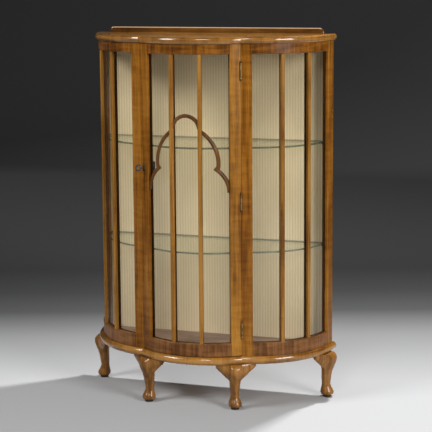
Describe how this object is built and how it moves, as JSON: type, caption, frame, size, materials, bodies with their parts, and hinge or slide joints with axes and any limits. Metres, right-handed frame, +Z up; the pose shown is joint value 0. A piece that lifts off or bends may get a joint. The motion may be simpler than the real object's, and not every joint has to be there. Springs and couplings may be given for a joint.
{
  "type": "half-moon display cabinet",
  "caption": "Half-moon glazed walnut display cabinet on cabriole legs, with a bowed hinged door, arched tracery, glass shelves and a key-worked lock.",
  "frame": {"origin": "on the floor under the middle of the cabinet's bounding box", "axes": "+Z up, +Y to the flat back, +X to the hinge side, seen from the front"},
  "size_m": [0.8418, 0.3244, 1.188],
  "materials": {
    "figured_walnut": "glossy polish",
    "red_walnut": "glossy polish",
    "carved_walnut": "glossy polish",
    "dark_fretwork": "satin polish",
    "inner_beading": "satin polish",
    "clear_glass": "clear",
    "shelf_glass": "clear",
    "cream_cloth": "fine ribbed cloth",
    "back_plywood": "plain plywood",
    "aged_brass": "aged",
    "dark_steel": "darkened"
  },
  "bodies": {
    "cabinet": {"right_rear_stile": "figured_walnut", "left_rear_stile": "figured_walnut", "right_front_stile": "figured_walnut", "left_front_stile": "figured_walnut", "right_top_rail": "figured_walnut", "left_top_rail": "figured_walnut", "right_front_bar": "figured_walnut", "right_rear_bar": "figured_walnut", "left_front_bar": "figured_walnut", "left_rear_bar": "figured_walnut", "top_board": "figured_walnut", "gallery_rail": "figured_walnut", "right_bottom_rail": "red_walnut", "left_bottom_rail": "red_walnut", "base_board": "red_walnut", "right_front_leg": "carved_walnut", "left_front_leg": "carved_walnut", "right_rear_leg": "carved_walnut", "left_rear_leg": "carved_walnut", "right_front_leg_ears": "carved_walnut", "left_front_leg_ears": "carved_walnut", "right_rear_leg_ear": "carved_walnut", "left_rear_leg_ear": "carved_walnut", "right_glass_beads": "inner_beading", "left_glass_beads": "inner_beading", "door_stops": "inner_beading", "right_glass": "clear_glass", "left_glass": "clear_glass", "lower_shelf": "shelf_glass", "upper_shelf": "shelf_glass", "back_lining": "cream_cloth", "back_panel": "back_plywood", "upper_hinge_frame_leaf": "aged_brass", "middle_hinge_frame_leaf": "aged_brass", "lower_hinge_frame_leaf": "aged_brass", "upper_hinge_pin": "aged_brass", "middle_hinge_pin": "aged_brass", "lower_hinge_pin": "aged_brass", "lower_shelf_pegs": "aged_brass", "upper_shelf_pegs": "aged_brass", "lock_keeper": "dark_steel"},
    "door": {"door_bottom_rail": "red_walnut", "door_top_rail": "figured_walnut", "door_glass": "clear_glass", "door_glass_beads": "inner_beading", "door_left_bar": "figured_walnut", "door_right_bar": "figured_walnut", "door_hinge_stile": "figured_walnut", "door_lock_stile": "figured_walnut", "door_tracery": "dark_fretwork", "upper_hinge_door_leaf": "aged_brass", "middle_hinge_door_leaf": "aged_brass", "lower_hinge_door_leaf": "aged_brass", "lock_case": "dark_steel", "keyhole_escutcheon": "aged_brass"},
    "bolt": {"lock_bolt": "dark_steel"},
    "key": {"lock_key": "dark_steel"}
  },
  "joints": [
    {"name": "door_swing", "type": "hinge", "parent": "cabinet", "child": "door", "pos_m": [0.16479, -0.09298, 0.66], "axis": [0, 0, 1], "range_deg": [0, 110]},
    {"name": "key_turn", "type": "hinge", "parent": "door", "child": "key", "pos_m": [-0.15341, -0.0991, 0.758], "axis": [-0.5811, -0.8138, 0], "range_deg": [0, 360]},
    {"name": "bolt_slide", "type": "slide", "parent": "door", "child": "bolt", "axis": [-0.8138, 0.5811, 0], "range_m": [0, 0.008]}
  ],
  "couplings": [
    {"joint": "bolt_slide", "follows": "key_turn", "m_per_rad": 0.0012731}
  ]
}
